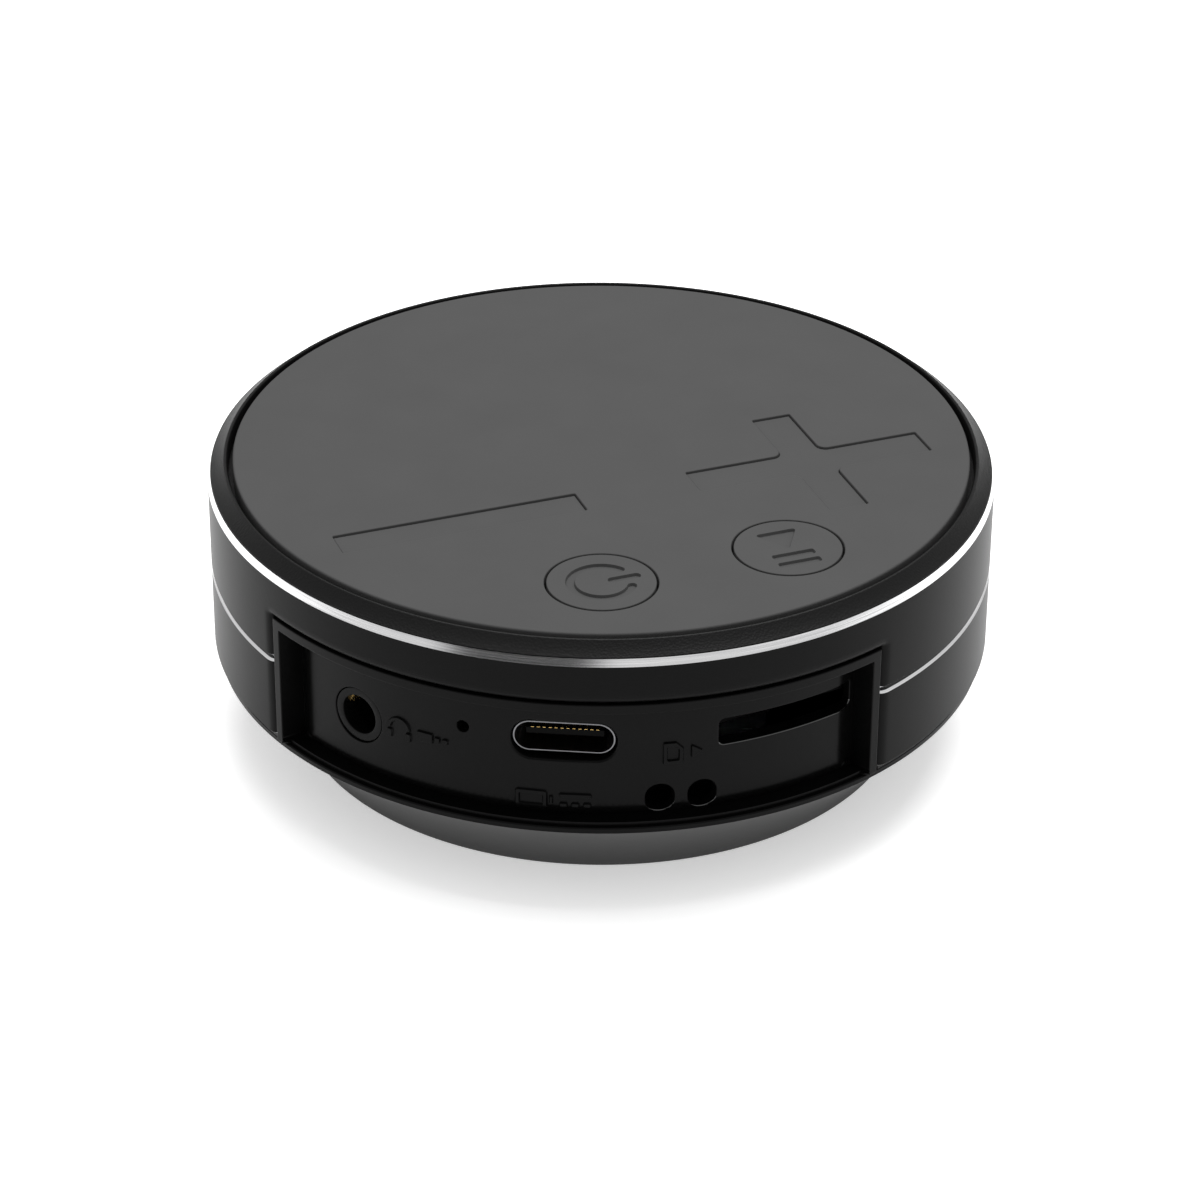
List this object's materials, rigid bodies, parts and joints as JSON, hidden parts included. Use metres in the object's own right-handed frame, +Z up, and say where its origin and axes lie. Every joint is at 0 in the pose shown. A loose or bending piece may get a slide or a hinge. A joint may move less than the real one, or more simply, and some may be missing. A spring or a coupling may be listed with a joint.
{
  "type": "bluetooth audio receiver",
  "caption": "Round pocket wireless audio receiver: aluminium band, sunken port bay, silicone key pad with press keys, and a round silicone foot.",
  "frame": {"origin": "middle of the foot's flat underside", "axes": "+Z up through the key pad; -Y out through the middle of the port bay; +X to the right when the port bay is seen from the front"},
  "size_m": [0.07, 0.07, 0.0264],
  "materials": {
    "anodised_aluminium": "black anodised with bright diamond-cut edges",
    "black_plastic": "fine moulded texture",
    "grey_silicone": "soft matt moulded silicone",
    "socket_plastic": "moulded",
    "circuit_board": "solder resist",
    "chip_epoxy": "moulded epoxy",
    "component_ceramic": "fired",
    "screw_steel": "zinc plated",
    "socket_steel": "drawn sheet",
    "gold_contact": "plated",
    "microphone_can": "drawn",
    "microphone_rubber": "moulded",
    "cell_film": "laminate film",
    "foam_tape": "foam",
    "lead_insulation": "extruded"
  },
  "bodies": {
    "receiver": {"side_band": "anodised_aluminium", "lower_housing": "black_plastic", "port_bay": "black_plastic", "top_cover": "black_plastic", "key_pad": "grey_silicone", "base_foot": "grey_silicone", "aux_jack": "socket_plastic", "usb_c_tongue": "socket_plastic", "card_socket_base": "socket_plastic", "battery_header": "socket_plastic", "battery_plug": "socket_plastic", "switch_housings": "socket_plastic", "main_board": "circuit_board", "bluetooth_chip": "chip_epoxy", "charger_chip": "chip_epoxy", "audio_amplifier": "chip_epoxy", "crystal": "component_ceramic", "chip_antenna": "component_ceramic", "chip_resistors": "component_ceramic", "case_screws": "screw_steel", "board_screws": "screw_steel", "usb_c_shell": "socket_steel", "card_socket_cover": "socket_steel", "usb_c_contacts": "gold_contact", "aux_contacts": "gold_contact", "microphone": "microphone_can", "mic_boot": "microphone_rubber", "battery": "cell_film", "battery_tape": "foam_tape", "battery_leads": "lead_insulation"},
    "minus_button": {"minus_key": "grey_silicone", "minus_plunger": "socket_plastic"},
    "plus_button": {"plus_key": "grey_silicone", "plus_plunger": "socket_plastic"},
    "power_button": {"power_key": "grey_silicone", "power_plunger": "socket_plastic"},
    "mode_button": {"mode_key": "grey_silicone", "mode_plunger": "socket_plastic"}
  },
  "joints": [
    {"name": "minus_press", "type": "slide", "parent": "receiver", "child": "minus_button", "axis": [0, 0, -1], "range_m": [0, 0.0003], "stiffness_N_per_m": 500, "springref_m": -0.001},
    {"name": "plus_press", "type": "slide", "parent": "receiver", "child": "plus_button", "axis": [0, 0, -1], "range_m": [0, 0.0003], "stiffness_N_per_m": 500, "springref_m": -0.001},
    {"name": "power_press", "type": "slide", "parent": "receiver", "child": "power_button", "axis": [0, 0, -1], "range_m": [0, 0.0003], "stiffness_N_per_m": 500, "springref_m": -0.001},
    {"name": "mode_press", "type": "slide", "parent": "receiver", "child": "mode_button", "axis": [0, 0, -1], "range_m": [0, 0.0003], "stiffness_N_per_m": 500, "springref_m": -0.001}
  ]
}
